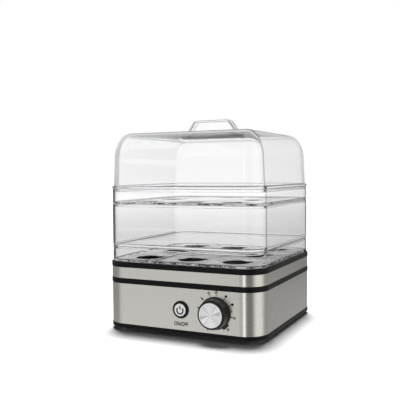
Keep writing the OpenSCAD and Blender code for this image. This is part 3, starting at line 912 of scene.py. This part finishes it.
def tray(name, body, node):
    """Egg tray: one closed skin with the rim wall, floor, thin-edged seats, skirt and steam slots."""
    seat_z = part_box(node)[0].z + SKIRT_DROP
    wall_in, skirt_out, skirt_in = TRAY_OUT - TRAY_WALL, TRAY_OUT - TRAY_WALL - 0.2 * MM, 17.6 * MM
    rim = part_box(node)[1].z
    floor_top = seat_z + TRAY_FLOOR
    bm = bmesh.new()
    sweep(bm, rounded([(skirt_in, seat_z, 0), (skirt_in, seat_z - SKIRT_DROP, 0.4 * MM),
        (skirt_out, seat_z - SKIRT_DROP, 0.5 * MM), (skirt_out, seat_z, 0), (TRAY_OUT, seat_z, 0.9 * MM),
        (TRAY_OUT, rim, 0.5 * MM), (wall_in, rim, 0.5 * MM), (wall_in, floor_top, 1.2 * MM),
        (skirt_in, floor_top, 0)], 4), closed=False)
    for sx, sy in SEATS:
        loft(bm, lambda level: [Vector(((sx + x) * MM, (sy + y) * MM, floor_top + level[1] * MM))
            for x, y in keyhole(level[0])], SEAT_EDGE)
    for side in range(4):
        turn = Matrix.Rotation(math.pi / 2 * side, 3, "Z")
        for k in range(SLOTS):
            shift = (k - (SLOTS - 1) / 2) * SLOT_PITCH
            outline = bar(0, 0, 0, SLOT_L, SLOT_W, 8)
            loft(bm, lambda level: [turn @ Vector(((shift + x * level[0]) * MM,
                (-SLOT_AT + y * level[0]) * MM, floor_top + level[1])) for x, y in outline],
                [(SLOT_FLARE, 0), (1, -SLOT_SOFT), (1, SLOT_SOFT - TRAY_FLOOR), (SLOT_FLARE, -TRAY_FLOOR)])
    weld(bm)
    fill_level(bm, floor_top)
    fill_level(bm, seat_z)
    finish_piece(bm, name, body, CLEAR_TRAY, [node])


def tier():
    """Wall between the two levels, with its lip."""
    low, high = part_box("tier_wall")[0].z + LIP_DROP, TIER_TOP
    bm = bmesh.new()
    sweep(bm, rounded([(LIP_IN, low - LIP_DROP, 0.5 * MM), (LIP_OUT, low - LIP_DROP, 0.5 * MM),
        (LIP_OUT, low, 0), (TIER_OUT, low, 2.0 * MM), (TIER_OUT, high, 0.5 * MM),
        (TIER_OUT - CLEAR_WALL, high, 0.5 * MM), (TIER_OUT - CLEAR_WALL, low + FLANGE, 0.6 * MM),
        (LIP_IN, low + FLANGE, 0.6 * MM)], 5))
    finish_piece(bm, "tier_shell", "tier", MATERIALS["clear_plastic"], ["tier_wall"])


def grip(bm, foot, top_half, base, height, radius, depth, soft, flare=0):
    """Open-footed trapezium of half lengths foot and top_half, rounded over its shoulders and top, and
    flared out at its foot."""
    side = rounded([(foot, 0, 0), (top_half, height, radius), (0, height, 0)], 6)[:-1]
    loops = []
    for length, h in side:
        sink = max(0.0, h - (height - soft))
        loops.append((length, depth / 2 - (soft - math.sqrt(max(soft ** 2 - sink ** 2, 0))), h))
    if flare:
        fillet = []
        for k in range(5):
            f = flare * k / 5
            grow = flare - math.sqrt(flare ** 2 - (flare - f) ** 2)
            fillet.append((foot - (foot - top_half) * f / height + grow, depth / 2 + grow, f))
        loops = fillet + loops[1:]

    def level(values):
        length, half, h = values
        corner = min(1.6 * MM, half * 0.6)
        return [Vector((x, y, base + h)) for x, y in rounded([(-length, -half, corner),
            (length, -half, corner), (length, half, corner), (-length, half, corner)], 5)]

    bm.faces.new(loft(bm, level, loops)[-1])


def lid():
    """Lid with a lip, flange, crowned top and hollow grip, as one closed skin."""
    low = LID_LIP_Z + LIP_DROP
    lid_top = GRIP_TOP - GRIP_HEIGHT
    crown_z = low + 31 * MM
    wall_low, wall_high = 20.1 * MM, 19.0 * MM

    def crown(reach, top, steps=22):
        quarter = [math.pi / 2 * k / steps for k in range(steps + 1)]
        return [(reach * math.cos(a), crown_z + (top - crown_z) * math.sin(a), 0) for a in quarter]

    inner = crown(wall_high - CLEAR_WALL, lid_top - CLEAR_WALL)
    outer = crown(wall_high, lid_top)
    skirt = [(wall_low - CLEAR_WALL, low + FLANGE, 1.0 * MM), (LIP_IN, low + FLANGE - 0.8 * MM, 0.4 * MM),
        (LIP_IN, low - LIP_DROP, 0.5 * MM), (LIP_OUT, low - LIP_DROP, 0.5 * MM), (LIP_OUT, low, 0.3 * MM),
        (LID_OUT, low, 0.5 * MM), (LID_OUT, low + FLANGE, 0.8 * MM), (wall_low, low + FLANGE, 1.0 * MM)]
    bm = bmesh.new()
    sweep(bm, rounded(inner[::-1] + skirt + outer, 4), closed=False, steps=28)
    height = GRIP_TOP - lid_top
    grip(bm, 33 * MM, 21.5 * MM, lid_top, height, 5 * MM, 11 * MM, 1.4 * MM, 1.6 * MM)
    grip(bm, 31.6 * MM, 20.1 * MM, lid_top - CLEAR_WALL, height + CLEAR_WALL - 1.4 * MM, 3.6 * MM, 8.2 * MM,
        0.9 * MM)
    weld(bm)
    fill_level(bm, lid_top)
    fill_level(bm, lid_top - CLEAR_WALL)
    finish_piece(bm, "lid_shell", "lid", MATERIALS["clear_plastic"], ["lid"], 30)


tray("lower_tray_shell", "lower_tray", "lower_egg_tray")
tier()
tray("upper_tray_shell", "upper_tray", "upper_egg_tray")
lid()


# ---- Studio: pale floor, white surround, soft lamps ---------------------

FLOOR_HALF = 6.0


def floor():
    """Pale floor. Seen through clear plastic it carries painted shade, greyer most of all close by and off to
    the sides.
    """
    mesh = bpy.data.meshes.new("floor")
    corners = [(sx * FLOOR_HALF, sy * FLOOR_HALF, 0) for sx, sy in ((-1, -1), (1, -1), (1, 1), (-1, 1))]
    mesh.from_pydata(corners, [], [(0, 1, 2, 3)])
    s = Shader("Pale floor", Specular_IOR_Level=0.0)
    plain = s.colours(s.noise(3, 2), (0.3, grey(0.9)), (0.7, grey(0.93)))
    away = s.node("ShaderNodeVectorMath", operation="LENGTH")
    s.join(s.place, away.inputs[0])
    distance = away.outputs["Value"]
    x, y, _ = s.axes(s.place)
    aside = s.off_view(s.compass(x, y))
    # Painted shade: seen through clear plastic, the floor's colour is darkened close by and off to the sides
    painted_shade_through = s.math("MAXIMUM", s.spread(distance, 0.36, 0.07, (0.9, 2.8)),
        s.spread(aside, 0.08, 0.42, (math.radians(22), math.radians(34))))
    path = s.node("ShaderNodeLightPath")
    painted_floor_shade = s.math("MULTIPLY", path.outputs["Is Transmission Ray"], painted_shade_through)
    # Painted shade: light mirrored on its way through the clear pieces finds only the near floor bright, and
    # the floor further out is painted dark
    bounced = s.math("GREATER_THAN", path.outputs["Glossy Depth"], 0.5)
    painted_floor_shade = s.math("MAXIMUM", painted_floor_shade, s.math("MULTIPLY", bounced, s.spread(distance, 0.0, 0.95, (0.46, 0.6))))
    s.set("Base Color", s.tinted(painted_floor_shade, plain, grey(0)))
    s.set("Roughness", s.spread(s.noise(60, 2), 0.9, 1.0))
    s.bump(s.noise(250, 2), 0.02 * MM)
    mesh.materials.append(s.material)
    made = linked("floor", mesh)
    made.visible_glossy = False


# Brightness of the surround by compass angle, in degrees from the front toward the right
SURROUND = ((-180, 0.6), (-150, 0.58), (-128, 0.5), (-118, 0.38), (-60, 0.44), (-48, 0.74), (-34, 0.86),
    (-24, 0.84), (-15, 0.62), (-5, 0.6), (1, 0.95), (5, 1.75), (10, 1.75), (14, 0.5), (19, 0.3), (30, 0.25),
    (45, 0.26), (53, 0.48), (59, 0.8), (68, 1.02), (80, 1.14), (100, 1.02), (110, 0.8), (118, 0.5),
    (126, 0.44), (158, 0.4), (180, 0.58))
SURROUND_PEAK = 2.0                      # scale of the ramp, whose colours stop at 1
CEILING = 0.45                           # straight up, in polished surfaces
DOME = 0.07                              # all round, on dull surfaces
BEHIND, ABOVE = 1.08, 0.74               # through clear plastic, along the line of sight and higher up
BESIDE_EVEN, BESIDE_BOXES = 0.44, 0.42   # through it beside the line of sight: an even part and the boxes'
GAP_LIGHT = 0.02
# Heights, as the Z of a direction, over which the gap under the horizon opens and closes
GAP = ((-0.163, -0.156), (-0.127, -0.118))


def surround():
    """World: white to the camera, a soft dome to dull surfaces, and soft boxes to polished ones."""
    world = bpy.data.worlds.new("Studio")
    bpy.context.scene.world = world
    world.use_nodes = True
    w = Wiring(world.node_tree)
    background = next(n for n in w.tree.nodes if n.type == "BACKGROUND")
    x, y, height = w.axes(w.node("ShaderNodeTexCoord").outputs["Generated"])
    compass = w.compass(x, y)
    turn = w.math("ADD", w.math("DIVIDE", compass, 2 * math.pi), 0.5)
    stops = [(angle / 360 + 0.5, grey(light / SURROUND_PEAK)) for angle, light in SURROUND]
    boxes = w.math("MULTIPLY", w.colours(turn, *stops), SURROUND_PEAK)

    # Toward the ceiling the boxes give way to a dim grey
    polished = w.blend(w.spread(height, 0.0, 1.0, (0.45, 0.85)), boxes, CEILING)
    # A dark gap just under the horizon, which upright clear walls low on the object mirror
    opened, closed = (w.spread(height, 0.0, 1.0, span, "SMOOTHSTEP") for span in GAP)
    gap = w.math("MULTIPLY", opened, w.math("SUBTRACT", 1.0, closed))
    polished = w.blend(gap, polished, GAP_LIGHT)
    # Clear plastic seen straight through stays white along the line of sight, and takes on greys round it
    beside = w.spread(w.off_view(compass), 0.0, 1.0, (math.radians(11), math.radians(19)), "SMOOTHSTEP")
    clear = w.blend(beside, BEHIND, w.math("ADD", w.math("MULTIPLY", boxes, BESIDE_BOXES), BESIDE_EVEN))
    clear = w.blend(w.spread(height, 0.0, 1.0, (0.11, 0.2), "SMOOTHSTEP"), clear, ABOVE)
    path = w.node("ShaderNodeLightPath")
    light = w.blend(path.outputs["Is Diffuse Ray"], polished, DOME)
    light = w.blend(path.outputs["Is Transmission Ray"], light, clear)
    light = w.blend(path.outputs["Is Camera Ray"], light, 1.0)
    w.join(light, background.inputs["Strength"])
    background.inputs["Color"].default_value = (1, 1, 1, 1)


def sun(name, toward, width, power):
    """Even, wide light from a direction; width is its spread in degrees."""
    data = bpy.data.lights.new(name, "SUN")
    data.angle = math.radians(width)
    data.energy = power
    made = linked(name, data)
    made.rotation_mode = "QUATERNION"
    made.rotation_quaternion = (-Vector(toward)).to_track_quat("-Z", "Y")
    made.visible_glossy = False
    made.visible_transmission = False


floor()
surround()
sun("Overhead", toward=(-0.158, 0.328, 1.0), width=24, power=4.5)

scene = bpy.context.scene
scene.view_settings.view_transform = "Standard"
scene.cycles.max_bounces = 32
scene.cycles.transmission_bounces = 28
scene.cycles.glossy_bounces = 12
scene.cycles.transparent_max_bounces = 32
scene.cycles.use_denoising = True
